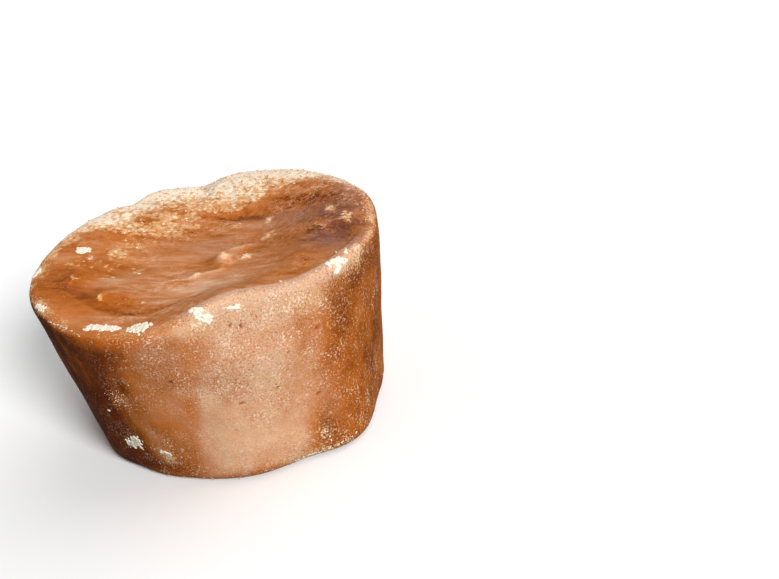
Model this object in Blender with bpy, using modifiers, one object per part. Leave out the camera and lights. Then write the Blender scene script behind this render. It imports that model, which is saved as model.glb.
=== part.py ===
"""Jaggery block: unrefined cane sugar set in a small tapered bucket and turned out, one solid piece.

The turned blank has a shallow dish on top, a rounded rim, a tapering side and a flat base.
The blank is then made uneven: the rim rises and falls, the base edge is worn and chipped,
and the dish keeps the folds and lumps that the thick syrup left as it set.
Metres, +Z up, origin at the middle of the flat base, 0 degrees along +X, anticlockwise from above.
"""

import math

import bpy
from mathutils import Vector, noise

NAME = "jaggery_block"

# Driving dimensions of the turned blank.
RIM_RADIUS = 0.0506  # of the side, run on up to the full height
BASE_RADIUS = 0.0418  # of the side, run on down to the base
HEIGHT = 0.0534
RIM_ROUND = 0.0026
BASE_ROUND = 0.0032
LIP_RADIUS = 0.0450  # where the dish starts to fall away
DISH_RADIUS = 0.0120  # where its floor is level
DISH_DEPTH = 0.0042
TAPER = math.atan2(RIM_RADIUS - BASE_RADIUS, HEIGHT)

# How finely the blank is divided.
TURN_STEPS = 104
DISH_STEPS = 17
RIM_STEPS = 5
SIDE_STEPS = 14
EDGE_STEPS = 4
BASE_STEPS = 4

# Uneven stretches: (angle, half width, amount), in degrees and metres.
RIM_RISES = (
    (271, 15, 0.0034),  # raised stretch
    (228, 30, -0.0022),  # low lip
    (340, 16, -0.0020),
    (128, 22, 0.0007),
    (111, 4, -0.0014),  # nick
    (101, 5, 0.0005),
    (84, 6, -0.0020),  # nick
    (50, 20, 0.0005),
    (8, 18, 0.0005),
)
RIM_LEANS = (
    (277, 20, 0.0034),  # the raised stretch leans in over the dish
    (40, 30, 0.0006),
)
RIM_SHIFTS = (
    (128, 26, 0.0008),
    (88, 8, -0.0008),
    (198, 16, -0.0006),
)
BASE_SHIFTS = (
    (225, 18, -0.0012),
    (268, 14, 0.0020),
    (303, 17, 0.0064),  # foot that stands out
    (130, 26, 0.0010),
    (30, 24, -0.0008),
)
RIM_SOFTENED = (
    (282, 22, 0.0010),
    (350, 30, 0.0006),
)
BASE_CHIPS = (
    (212, 9, 0.0008),
    (240, 5, 0.0004),
    (287, 6, 0.0006),
    (150, 12, 0.0014),
    (70, 16, 0.0012),
    (10, 9, 0.0010),
)
CORNER_REACH = 0.0090  # how far from a corner its softening is felt
RIM_RISE_DEPTH = 0.018  # how far down the side a rise of the rim is felt
RIM_RISE_START = 0.55  # share of the side's radius where a rise of the rim begins
RIM_RISE_FULL = 0.92
BASE_SHIFT_POWER = 1.6  # how fast a shift of the base fades up the side

# Lumps and hollows of the dish: (x, y, length, width, turn in degrees, height).
DISH_LUMPS = (
    (0.0040, -0.0080, 0.0034, 0.0028, -20, 0.0012),  # knob
    (0.0110, -0.0030, 0.0060, 0.0022, -20, 0.0003),  # ridge that trails from it
    (0.0120, -0.0080, 0.0055, 0.0026, -20, -0.0007),
    (-0.0045, -0.0142, 0.0090, 0.0022, -8, 0.0005),
    (-0.0285, -0.0175, 0.0070, 0.0040, -36, 0.0008),
    (-0.0350, -0.0090, 0.0065, 0.0045, -36, -0.0010),
    (-0.0100, -0.0250, 0.0160, 0.0060, -20, -0.0010),
    (0.0150, 0.0190, 0.0150, 0.0035, -36, -0.0010),
    (0.0340, -0.0050, 0.0080, 0.0035, -36, 0.0007),
)
LUMPS_FADE = 0.80  # share of the side's radius where the lumps of the dish start to fade
LUMPS_END = 0.95

UNEVENNESS = 0.00045  # of the whole skin
UNEVENNESS_SPAN = 0.013

TOUCHING = 1e-7  # points lower than this lie on the flat base
MERGED = 1e-5  # points closer than this become one


def smooth_step(low, high, value):
    """0 below low, 1 above high, and a smooth rise between."""
    share = min(max((value - low) / (high - low), 0.0), 1.0)
    return share * share * (3.0 - 2.0 * share)


def around(angle, stretches):
    """The sum of the stretches' amounts at an angle in degrees, each fading towards its half width."""
    total = 0.0
    for centre, half_width, amount in stretches:
        apart = (angle - centre + 180.0) % 360.0 - 180.0
        total += amount * math.exp(-((apart / half_width) ** 2))
    return total


def arc(centre_radius, centre_height, radius, start, end, steps):
    """Points of a rounded corner of the profile, from one angle to the other, in radians."""
    points = []
    for step in range(steps + 1):
        angle = start + (end - start) * step / steps
        across, upward = math.cos(angle), math.sin(angle)
        points.append((centre_radius + radius * across, centre_height + radius * upward))
    return points


def profile():
    """The blank's outline: out over the dish, round the rim, down the side and in under the base."""
    points = []
    for step in range(DISH_STEPS + 1):
        radius = LIP_RADIUS * step / DISH_STEPS
        depth = DISH_DEPTH * (1.0 - smooth_step(DISH_RADIUS, LIP_RADIUS, radius))
        points.append((radius, HEIGHT - depth))
    rim_centre = RIM_RADIUS - RIM_ROUND * (1.0 + math.sin(TAPER)) / math.cos(TAPER)
    rim = arc(rim_centre, HEIGHT - RIM_ROUND, RIM_ROUND, math.pi / 2, -TAPER, RIM_STEPS)
    edge_centre = BASE_RADIUS - BASE_ROUND * (1.0 - math.sin(TAPER)) / math.cos(TAPER)
    edge = arc(edge_centre, BASE_ROUND, BASE_ROUND, -TAPER, -math.pi / 2, EDGE_STEPS)
    points += rim
    for step in range(1, SIDE_STEPS):
        share = step / SIDE_STEPS
        points.append(tuple(high + (low - high) * share for high, low in zip(rim[-1], edge[0])))
    points += edge
    for step in range(1, BASE_STEPS + 1):
        points.append((edge_centre * (1.0 - step / BASE_STEPS), 0.0))
    return points


def turned_blank(collection):
    """The profile turned round the Z axis."""
    outline = profile()
    mesh = bpy.data.meshes.new(NAME + "_profile")
    mesh.from_pydata(
        [(radius, 0.0, height) for radius, height in outline],
        [(index, index + 1) for index in range(len(outline) - 1)],
        [],
    )
    blank = bpy.data.objects.new(NAME, mesh)
    collection.objects.link(blank)
    screw = blank.modifiers.new("turn", "SCREW")
    screw.axis = "Z"
    screw.steps = TURN_STEPS
    screw.render_steps = TURN_STEPS
    screw.use_merge_vertices = True
    screw.merge_threshold = MERGED
    return blank


def apply_modifiers(blank):
    """Give the blank its evaluated mesh, so that its points can be moved one by one."""
    evaluated = blank.evaluated_get(bpy.context.evaluated_depsgraph_get())
    mesh = bpy.data.meshes.new_from_object(evaluated)
    blank.modifiers.clear()
    profile_mesh = blank.data
    blank.data = mesh
    bpy.data.meshes.remove(profile_mesh)
    mesh.name = NAME


def side_radius(height):
    """Radius of the blank's side at a height."""
    return BASE_RADIUS + (RIM_RADIUS - BASE_RADIUS) * height / HEIGHT


def lumps(x, y):
    """Height that the folds and lumps add to the dish at a point."""
    total = 0.0
    for lump_x, lump_y, length, width, turn, height in DISH_LUMPS:
        turned = math.radians(turn)
        along = (x - lump_x) * math.cos(turned) + (y - lump_y) * math.sin(turned)
        across = (y - lump_y) * math.cos(turned) - (x - lump_x) * math.sin(turned)
        total += height * math.exp(-((along / length) ** 2) - (across / width) ** 2)
    return total


def corner_pull(radius, height, corner_radius, corner_height):
    """Share of a corner's softening at a point: 1 in the corner, 0 past the softening's reach."""
    distance = math.hypot(radius - corner_radius, height - corner_height)
    return 1.0 - smooth_step(0.0, CORNER_REACH, distance)


def uneven(point):
    """Where a point of the blank lies on the worn block."""
    radius = math.hypot(point.x, point.y)
    angle = math.degrees(math.atan2(point.y, point.x)) % 360.0
    height = point.z
    upward = height / HEIGHT
    outward = radius / side_radius(height)
    # The outline is not round: the shifts carry the inner points with them.
    downward = (1.0 - min(upward, 1.0)) ** BASE_SHIFT_POWER
    shift = upward * around(angle, RIM_SHIFTS) + downward * around(angle, BASE_SHIFTS)
    new_radius = radius + outward * shift
    # The rim rises and falls, and its corner is worn rounder in places.
    rim_share = smooth_step(RIM_RISE_START, RIM_RISE_FULL, outward)
    rim_share *= smooth_step(HEIGHT - RIM_RISE_DEPTH, HEIGHT, height)
    new_height = height + rim_share * around(angle, RIM_RISES)
    new_radius -= rim_share * around(angle, RIM_LEANS)
    softened = corner_pull(radius, height, RIM_RADIUS, HEIGHT) * around(angle, RIM_SOFTENED)
    new_radius -= softened
    new_height -= softened
    # The edge of the base is chipped.
    new_radius -= corner_pull(radius, height, BASE_RADIUS, 0.0) * around(angle, BASE_CHIPS)
    # Folds of the dish.
    if height > HEIGHT - RIM_RISE_DEPTH:
        new_height += lumps(point.x, point.y) * (1.0 - smooth_step(LUMPS_FADE, LUMPS_END, outward))
    moved = Vector((math.cos(math.radians(angle)), math.sin(math.radians(angle)), 0.0)) * new_radius
    moved.z = new_height
    if height < TOUCHING:
        moved.z = 0.0
        return moved
    # The whole skin is a little wavy, fading to nothing at the flat base.
    wave = noise.noise_vector(moved / UNEVENNESS_SPAN) * UNEVENNESS
    return moved + wave * smooth_step(0.0, 2.0 * BASE_ROUND, height)


def make_uneven(block):
    """Move every point of the blank."""
    for vertex in block.data.vertices:
        vertex.co = uneven(vertex.co)


def jaggery_material():
    """Waxy golden brown sugar."""
    material = bpy.data.materials.new("jaggery")
    material.use_nodes = True
    shader = material.node_tree.nodes["Principled BSDF"]
    shader.inputs["Base Color"].default_value = (0.50, 0.20, 0.075, 1.0)
    shader.inputs["Roughness"].default_value = 0.48
    shader.inputs["Metallic"].default_value = 0.0
    return material


def main():
    for leftover in list(bpy.data.objects):
        bpy.data.objects.remove(leftover)
    collection = bpy.data.collections.new(NAME)
    bpy.context.scene.collection.children.link(collection)
    block = turned_blank(collection)
    apply_modifiers(block)
    make_uneven(block)
    block.data.materials.append(jaggery_material())
    block.data.shade_smooth()


main()
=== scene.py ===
"""Looks of the jaggery block: its waxy skin with pits and smears, the white sugar crust and the loose grains.

Lengths in the tables of features are in millimetres, angles in degrees: 0 along +X, anticlockwise from above,
the front of the block at 270.
"""

import itertools
import math

import bmesh
import bpy
import numpy as np
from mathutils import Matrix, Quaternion, Vector
from mathutils.bvhtree import BVHTree


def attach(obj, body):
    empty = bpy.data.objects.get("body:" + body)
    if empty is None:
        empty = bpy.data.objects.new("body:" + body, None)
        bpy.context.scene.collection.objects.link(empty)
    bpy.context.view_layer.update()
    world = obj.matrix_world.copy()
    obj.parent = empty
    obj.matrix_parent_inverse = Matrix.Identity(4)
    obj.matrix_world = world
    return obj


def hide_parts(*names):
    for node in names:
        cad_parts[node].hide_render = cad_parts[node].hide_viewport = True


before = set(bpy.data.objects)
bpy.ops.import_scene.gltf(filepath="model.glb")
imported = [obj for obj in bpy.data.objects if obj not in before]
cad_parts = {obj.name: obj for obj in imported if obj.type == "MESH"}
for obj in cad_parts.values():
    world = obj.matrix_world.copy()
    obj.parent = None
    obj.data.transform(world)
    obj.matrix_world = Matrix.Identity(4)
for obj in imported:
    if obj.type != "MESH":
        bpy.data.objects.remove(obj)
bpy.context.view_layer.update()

NODE = "jaggery_block"
BODY = "root"
MM = 0.001
SEED = 7  # each random field adds a number of its own to it

# Sizes of the small squares that the skin and the crusts are meshed with.
SKIN_CELL = 0.615 * MM
CRUST_CELL = 0.16 * MM

# Smears of the dish run this way, seen from above, from +X towards +Y.
SMEAR_TURN = -36.0

# Colours of the side change along lines that lean, by so many degrees for each millimetre past a height.
SIDE_LEAN = 0.35
LEAN_HEIGHT = 30.0

# Angles between which each colour of the side comes in, and between which it goes.
CLEAR_STARTS = (142, 208)
CLEAR_ENDS = (218, 242)
TOFFEE_STARTS = (136, 198)
TOFFEE_ENDS = (251, 258)
# Painted shade on the right flank, a deeper red-brown, comes in and goes between these angles.
RIGHT_SHADE_STARTS = (291, 301)
RIGHT_SHADE_ENDS = (335, 385)

# Depths of colour, where 0 is deep clear amber and 1 is cream.
DRY_SIDE = 0.70
DISH = 0.42
CLEAR_DEEPENS = 0.53
TOFFEE_DEEPENS = 0.20
# How much the painted shade deepens the right flank.
RIGHT_SHADE_DEEPENS = 0.53

# Stretches of the rim: the angles where each one starts, is full, fades and ends.
RUBBED_RIM = (252, 264, 306, 334)
SMOOTH_RIM = (255, 266, 330, 345)
STEEP_RIM = (254, 268, 322, 344)  # the dish falls sharply behind it
LOW_LIP = (186, 204, 258, 266)
THIN_RIM = (210, 230, 240, 256)  # light shines through its edge
CREAM_RIM = (18, 38, 126, 140)

# How far in from the rim's edge the rim passes into the dish.
RIM_BREADTH = (2, 6)

# How far foam and cream reach in from the rim: at least, and more near some angles (angle, half width, more).
FOAM_REACH = 3.0
FOAM_REACHES = ((105, 29, 32), (60, 20, 19))
CREAM_REACH = 2.0
CREAM_REACHES = ((87, 22, 14), (50, 26, 10), (112, 18, 3))

# -------- features of the block

# Lumps and hollows of the dish: (x, y, length, width, height, turn), along the smears if there is no turn.
DISH_RELIEF = (
    (4.3, -7.8, 1.6, 2, 1.4, 0),  # knob
    (6.4, -5.2, 2.4, 1.3, 0.45, -10),
    (3.2, -13.2, 1.2, 1.4, 0.5, 20),
    (9.2, -2.6, 4.4, 0.9, 0.5, -6),  # ridge that trails from it
    (10.3, -5.6, 4.2, 1.2, -0.3, -12),
    (10.5, -9.8, 2, 2, 0.4, -20),
    (-4.2, -13.5, 0.9, 1.4, 0.5, 0),  # bead
    (-0.2, -14.7, 4.5, 0.6, 0.5, -8),
    (-9.5, -13.4, 4.5, 0.7, 0.3, -8),
    (-2, -18, 9, 1, 0.2, -24),
    (-12, -21, 9, 1, 0.2, -30),
    (-30, -15.6, 1.2, 2.1, 0.9, -20),  # bright lump
    (-25, -18.8, 4.5, 2, 0.5),
    (-35.6, -9.5, 3.4, 3.5, -0.8),
    (-38.2, -0.6, 1.5, 2.2, 0.6),
    (-26.5, -4.8, 3.5, 1.2, 0.3),
    (39.9, -9.4, 2, 2.4, 0.6),
    (43.5, -13, 3, 1.6, -0.5),
    (36.9, -1.6, 1.2, 1.6, 0.6),
    (31.5, -9, 3.2, 1.2, 0.5),
    (28, -8.5, 2.5, 1.6, -0.5),
    (20.1, 11.6, 1.2, 1.6, 0.5),
    (18.4, 0, 1.6, 2, 0.25),
    (-32.5, 9, 4, 1.6, 0.3),
    (12, 19, 9, 2.4, -0.7),
    (28, 20, 7, 2.6, -0.6),
)

# Clear streaks in the foam: (x, y, length, width, amount, turn), as above.
CLEAR_STREAKS = (
    (9, 20.5, 8, 2.2, -0.26),
    (16, 16, 5, 2, -0.24),
    (28, 18, 9, 2.4, -0.18, -30),
    (36, 10, 5, 2.5, -0.16),
    (-14, 30, 3.4, 2.2, -0.26),
    (-5, 31, 4, 1.6, -0.18),
    (-12.9, 34.4, 2.6, 1.4, -0.15),
    (-25, 26, 6, 1.8, -0.1),
    (-3.6, 18, 4, 2.5, -0.14),
    (-6.5, 28, 4, 2, -0.12),
)

# Patches where the dish is paler or deeper in colour, as above; some paler ones are painted highlights and
# some deeper ones painted shade.
DISH_TONES = CLEAR_STREAKS + (
    (-37, -1, 12, 12, -0.37, 0),  # clear amber at the left
    (-30, -20, 12, 5, -0.18),
    (-22, -22, 8, 3, -0.08),
    (-35.5, -8.5, 4, 4, -0.05),
    (0, -2, 14, 9, 0.12),
    (-14, 3, 9, 5, 0.12),
    (0, -24, 15, 5, 0.22, -24),
    (12, -21, 15, 6, 0.08, -20),
    (-9, -19, 13, 8, 0.15),
    (-16, 11, 8, 5, 0.08),
    # deeper in the hollow under the ridge: painted shade
    (10.3, -5.4, 4.4, 1.2, -0.28, -12),
    (2.2, -12.4, 1.6, 1.8, -0.15, 0),
    # darker at the knob's left: painted shade
    (0.6, -6.8, 1.6, 3, -0.22, 0),
    (34, -10, 14, 14, -0.24, 0),  # deeper at the right: painted shade
    (38, 0, 7, 9, -0.18, 0),
    (35, -19, 8, 5, -0.16, -50),
    (28, -8, 4, 1.6, -0.06),
    (44, -12, 5, 1.6, -0.08),
    (18, 9, 8, 2.2, 0.18),
    (10, 13, 5, 1.8, 0.14),
    (-27.5, -5.4, 6, 2.8, 0.26, -20),
    (-24.5, -10.5, 5, 1.6, 0.14),
    (-30, -15.4, 1.5, 2.4, 0.1, -20),
    (-27, -16.6, 3, 1.6, 0.1),
    (31, 17, 10, 4, 0.04),
    (-33, 4, 4, 1.5, 0.1),
    (14.5, 18, 9, 3, -0.2, -40),
    (32.5, 10.5, 9, 4, -0.2, -50),
    (37.5, -12, 6, 10, -0.12, -20),
    (29.5, -7, 6, 4, 0.13),
    (-22, 27, 12, 5, -0.09),
    (14, 40, 5, 3, -0.08),
    (45.5, 5, 4, 14, -0.14, 0),
    (-39.5, 13, 5, 5, 0.1, 0),
    (-27, -13, 6, 3, 0.14),
    # paler behind the near rim: painted light that lifts the crease's shade
    (-2, -33, 6, 3, 0.12, -24),
    (-15, -31, 10, 4, 0.13, -30),
    (-4, -24, 5, 4, 0.1, -20),
    (-21, -5, 9, 3.5, 0.11, -20),
    (-20, 15.5, 7, 3, 0.06),
    (-31, -6, 6, 3, 0.14, -20),
    (-29, 2.5, 6, 3, 0.1),
    (-19.5, -23, 6, 3, 0.07),
    (31.5, -19, 8, 4, -0.15, -50),
    # darker under the front crust strip: painted shade
    (-33.5, -33.5, 9, 1.6, -0.08, -46),
    (4.4, -7.6, 1.6, 1.9, 0.95, 0),  # pale knob, bead and ridges below: cream sugar with painted highlights
    (7, -4.8, 2.4, 1.1, 0.34, -10),
    (3, -13, 0.9, 1.2, 0.25, 0),
    (-4.2, -13.4, 1.1, 1.5, 0.6, 0),
    (-0.2, -14.5, 4.5, 0.7, 0.35, -8),
    (-9.5, -13.3, 4.5, 0.8, 0.15, -8),
    (9.2, -2.4, 4.2, 1.1, 0.34, -6),
)

# Small patches of set foam in the dish besides the band along the far rim, as above; those on the knob, the
# bead and two bright lumps carry painted highlights.
DISH_FOAM = (
    (-17, 18, 9, 6, 0.31, 0),
    (-23.5, 12.5, 4, 2.5, 0.38, -20),
    (-28, 34, 5, 4, 0.35),
    (-3, 12, 6, 4, 0.06, -20),
    (4, 18, 6, 3, 0.18, -20),
    # painted highlights on two bright lumps, in this line and the next
    (-30.2, -17.8, 1, 2, 0.5, -10),
    (-37, -0.6, 2.2, 1.6, 0.4),
    (13, 27, 6, 4, 0.26),
    (16, 33, 8, 4, 0.14, -20),
    # cream sugar and painted highlight on the knob and the bead, in this line and the next
    (4.4, -7.6, 1.3, 1.8, 0.46, 0),
    (-4.2, -13.4, 0.9, 1.3, 0.45, 0),
    (43, 18, 4, 8, 0.3, 20),
    (43.5, 5, 3, 8, 0.26, 0),
    (28, 15.5, 3, 2.2, 0.38, -20),
    (34.5, 17, 4, 2, 0.38, -20),
    (11, 13, 6, 2.4, 0.3),
    (39.9, -9, 2.4, 2.6, 0.52),
    (37, -1.4, 1.8, 2.2, 0.5),
    (31.5, -8.8, 3.8, 1.8, 0.55),
    (19.9, 9.8, 1.4, 2.2, 0.65),
    (18.3, -0.6, 2, 3.4, 0.52),
    (10.4, -10, 2.6, 3, 0.62, 0),
    (31.6, 17.2, 9, 4, 0.22),
    (-28.3, -3.4, 2.4, 1, 0.5, -20),
    (-26.2, -8, 2.4, 1, 0.5, -10),
    (-26.2, -15.6, 2.6, 1, 0.5, -15),
    (-19.1, -0.8, 1.7, 2.8, 0.58),
    (-35, 10, 6, 4, 0.22),
    (-27, 8, 8, 8, 0.18),
)

# Single pale crumbs in the dish: (x, y).
DISH_CRUMBS = ((-26.5, 9.5), (-31.6, 11.7), (-27.7, 5.4), (-26.5, 3.2), (-21, 2.5), (-19.3, -26))

# Patches of the dish that set in small ripples, or smooth where negative, as above.
RIPPLES = (
    (31, -4, 12, 14, 1.1, 0),
    (-35, -2, 8, 12, 0.3, 0),
    (-8, -12, 16, 7, -0.6),
)

# Patches of the dish that are more crumbly or smoother, as above.
DISH_GRIT = (
    (-36, 0, 10, 20, -0.2, 0),
    (-26, -16, 12, 8, -0.15),
    (-4, 2, 12, 8, -0.25),
    (14, 18, 16, 5, 0.4, -30),
    (31, 17, 10, 5, 0.4),
    (34, -2, 12, 14, 0.5, 0),
    (43, 12, 5, 12, 0.8, 10),
    (2, 44, 26, 6, 0.4, 0),
)

# Grey veil on the dish and the rim, as above; at the right of the dish it is painted shade.
HAZE_AND_SHADE = (
    (4, 2, 13, 6, 0.4),
    (27, 4, 14, 6, 0.7),
    (33, -22, 12, 6, 0.6, -50),
    (37, -8, 7, 10, 0.2, 0),
    (-27, -5.5, 9, 3, 0.36, 10),
    (45, 8, 3.5, 12, 0.6, -6),
)

# Patches of clear orange in the dish, as above.
DISH_GLOW = (
    (-37, 0, 7, 14, 0.36, 0),
    (-29, -19, 10, 5, 0.44),
    (-40, -18, 5, 8, 0.3, 30),
    (14, 20, 16, 5, 0.22, -30),
    (-24, 26, 7, 4, 0.3),
    (10.3, -5.4, 4, 1.3, 0.45, -12),
    (3.7, -15.8, 3, 1.8, 0.3, -12),
)

# Patches of the side that are paler or deeper: (angle, height, length round the block, width, amount).
SIDE_TONES = (
    (257, 27, 3.5, 5, 0.08),
    # darker towards the right flank: painted shade
    (293, 42, 4, 8, -0.18),
    (268, 12, 9, 5, 0.09),
    (276, 34, 7, 6, 0.06),
    (222, 10, 12, 9, -0.22),
    (212, 22, 8, 8, -0.14),
    (252, 24, 2.5, 3.5, -0.1),
    (243, 19, 5, 5, -0.14),
    (244, 42, 9, 8, -0.05),
    (257, 50.5, 6, 2.2, 0.24),
    (248, 50, 4, 2.5, 0.2),
    # painted shadow under the crust strip on the rim
    (235, 50, 5, 3, -0.14),
    (262, 40, 3, 9, -0.07),
    (236, 44, 5, 5, -0.1),
    (219, 49, 9, 3, -0.12),
    (226, 29, 2.5, 3, 0.18),
    (212, 15, 6, 5, -0.24),
    (232, 18, 3, 4, 0.26),
    (210, 18.5, 5, 4, -0.26),
    (214, 10, 5, 5, -0.18),
    (207, 36, 4, 10, -0.12),
    (232, 47, 4, 3, -0.08),
    (274, 42, 3.5, 4, -0.09),
    (280, 49, 10, 4, 0.07),
    # painted shade at the right edge of the front, in this line and the next two
    (290, 36, 4, 8, -0.08),
    (295, 44, 3, 6, -0.07),
    (301, 45, 7, 8, -0.04),
    (232, 10, 3, 3, 0.25),
    (288, 25, 3.5, 12, -0.13),
    (277, 44, 9, 4, -0.03),
    (272, 1.5, 6, 2, -0.22),
    (229, 6, 12, 4, -0.26),
    (242, 3, 6, 3, -0.16),
    (262, 1.5, 8, 2, -0.26),
    (238, 43, 4, 5, 0.14),
    (221, 44, 9, 6, -0.14),
    (247, 40, 4, 6, 0.1),
    (352, 34, 10, 7, 0.12),  # hidden sides from here on
    (30, 14, 12, 8, -0.16),
    (78, 30, 14, 9, 0.1),
    (120, 20, 10, 12, -0.12),
    (150, 38, 12, 6, 0.12),
)

# Patches of pale crystals on the side, as above.
SIDE_SUGAR = (
    (280, 27, 2.6, 2.2, 0.58),
    (289, 34, 2, 1.5, 0.3),
    (280, 42.5, 3, 2.6, 0.26),
    (289, 47, 1.6, 2.4, 0.36),
    (269, 40.8, 2, 0.9, 0.36),
    (277, 31.7, 0.9, 1.8, 0.4),
    (293, 29, 2.4, 2.4, 0.3),
    (258, 27.3, 3, 0.9, 0.36),
    (252, 31.5, 2, 1.2, 0.34),
    (277, 13.5, 3, 1.4, 0.22),
    (225, 29, 2, 2.8, 0.4),
    (292, 8, 3, 2.5, 0.35),
    (287, 2, 8, 1.8, 0.4),
    (235, 9, 2.5, 2.5, 0.3),
    (262, 51, 4, 3, 0.4),
    (298, 47, 5, 3, 0.2),
    (318, 49, 6, 3.5, 0.26),
    (5, 40, 7, 5, 0.4),  # hidden sides from here on
    (60, 24, 8, 4, 0.35),
    (135, 33, 6, 6, 0.4),
    (170, 12, 6, 4, 0.3),
)

# Clusters of loose crystals on the side, as above; the amount is the share of places that hold one.
SPECKLES = (
    (225, 29.5, 2.2, 2.8, 1.2),
    (227, 26, 1.4, 1.6, 0.5),
    (248, 48.3, 1.2, 1.2, 0.4),
    (238, 44.8, 0.5, 1.6, 0.6),
    (234, 35.2, 1, 1, 0.5),
    (216, 23.6, 0.6, 0.5, 0.9),
    (239, 15, 1.5, 2, 0.4),
    (243, 43.5, 4, 3.5, 0.12),
    (298, 33, 1.6, 1.6, 0.3),
    (282, 29, 2, 2, 0.16),
)

# Patches of the side that are more crumbly or smoother, as above.
SIDE_GRIT = (
    (266, 38, 10, 8, 0.26),
    (280, 47, 13, 6, 0.42),
    (285, 30, 7, 12, 0.26),
    (240, 40, 9, 9, -0.25),
    (247, 26, 7, 8, -0.2),
    (262, 20, 7, 7, -0.22),
    (256, 8, 8, 4, -0.1),
    (276, 14, 8, 4, -0.15),
    (208, 28, 18, 30, -0.6),
    (335, 28, 30, 30, -0.3),
    (239, 30, 5, 22, -0.2),
    (266, 1.5, 16, 2.5, 0.5),
)

# Patches of clear orange on the side, as above.
SIDE_GLOW = (
    (251, 27, 2.5, 5, 0.5),
    (242, 24, 5, 7, 0.55),
    (234, 40, 7, 9, 0.3),
    (213, 38, 5, 6, 0.25),
    (257, 39.5, 3, 4, 0.25),
    (261, 14, 4, 4, 0.2),
    (300, 30, 5, 14, 0.35),
)

# Patches of the side rubbed to a dusty pink, as above.
DUSTY_PATCHES = (
    (295, 19, 4, 9, 0.2),
    (280, 34, 10, 10, 0.22),
    (246, 27, 3, 5, 0.12),
    (250, 43, 3.5, 4, 0.24),
    (243, 46, 4, 3, 0.2),
    (251, 32, 2.5, 2.5, 0.34),
)

# Pale crystalline spots anywhere on the skin: (x, y, z, radius, amount).
SUGAR_SPOTS = (
    (-6, -46.2, 53.5, 3.4, 0.26),
    (-3.6, -47.2, 51, 3, 0.12),
    (4, -46.6, 51.4, 2.6, 0.16),
    (-13, -45, 52.5, 3.5, 0.08),
    (20, -43.8, 49.5, 3, 0.24),
    (32, -37, 52, 3.5, 0.45),
    (38, -31, 52, 3.5, 0.35),
    (-46.5, 8, 52.5, 4, 0.45),
    (-13.8, 41.3, 53.6, 5, 0.3),
    (9, 39.5, 52.5, 5, 0.28),
    (14, 35.5, 52.5, 4, 0.22),
    (22, 29, 52.5, 4, 0.14),
    (-46.4, -12, 51.8, 3, 0.4),
    (-34, 18, 53, 2.5, 0.25),
    (-32.6, -28.5, 14, 3.2, 0.35),
    (-25, -35, 9.6, 3, 0.45),
)

# The largest pits of the side: (angle, height, radius, depth).
PITS = (
    (271, 48.3, 0.5, 0.6),
    (274, 47.3, 0.5, 0.6),
    (297, 39.1, 0.6, 0.7),
    (293, 19.9, 0.7, 0.9),
    (268, 25.5, 0.55, 0.6),
    (280, 26.8, 0.45, 0.5),
    (286, 36, 0.4, 0.4),
    (248, 36, 0.4, 0.4),
    (60, 34, 2.4, 2.2),  # hidden sides from here on
    (150, 24, 1.7, 1.5),
    (20, 16, 1.5, 1.4),
    (345, 30, 1.1, 1),
)

# Small pits scattered all round but for the clear left.
SCATTERED_PITS = 30
PIT_ANGLES = (-115, 195)
PIT_HEIGHTS = (3, 48)
PIT_RADII = (0.25, 0.42)
PIT_DEPTHS = (0.6, 1)  # share of the radius
PIT_DARKEST = 0.4  # depth where the painted shade of a pit is darkest

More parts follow.
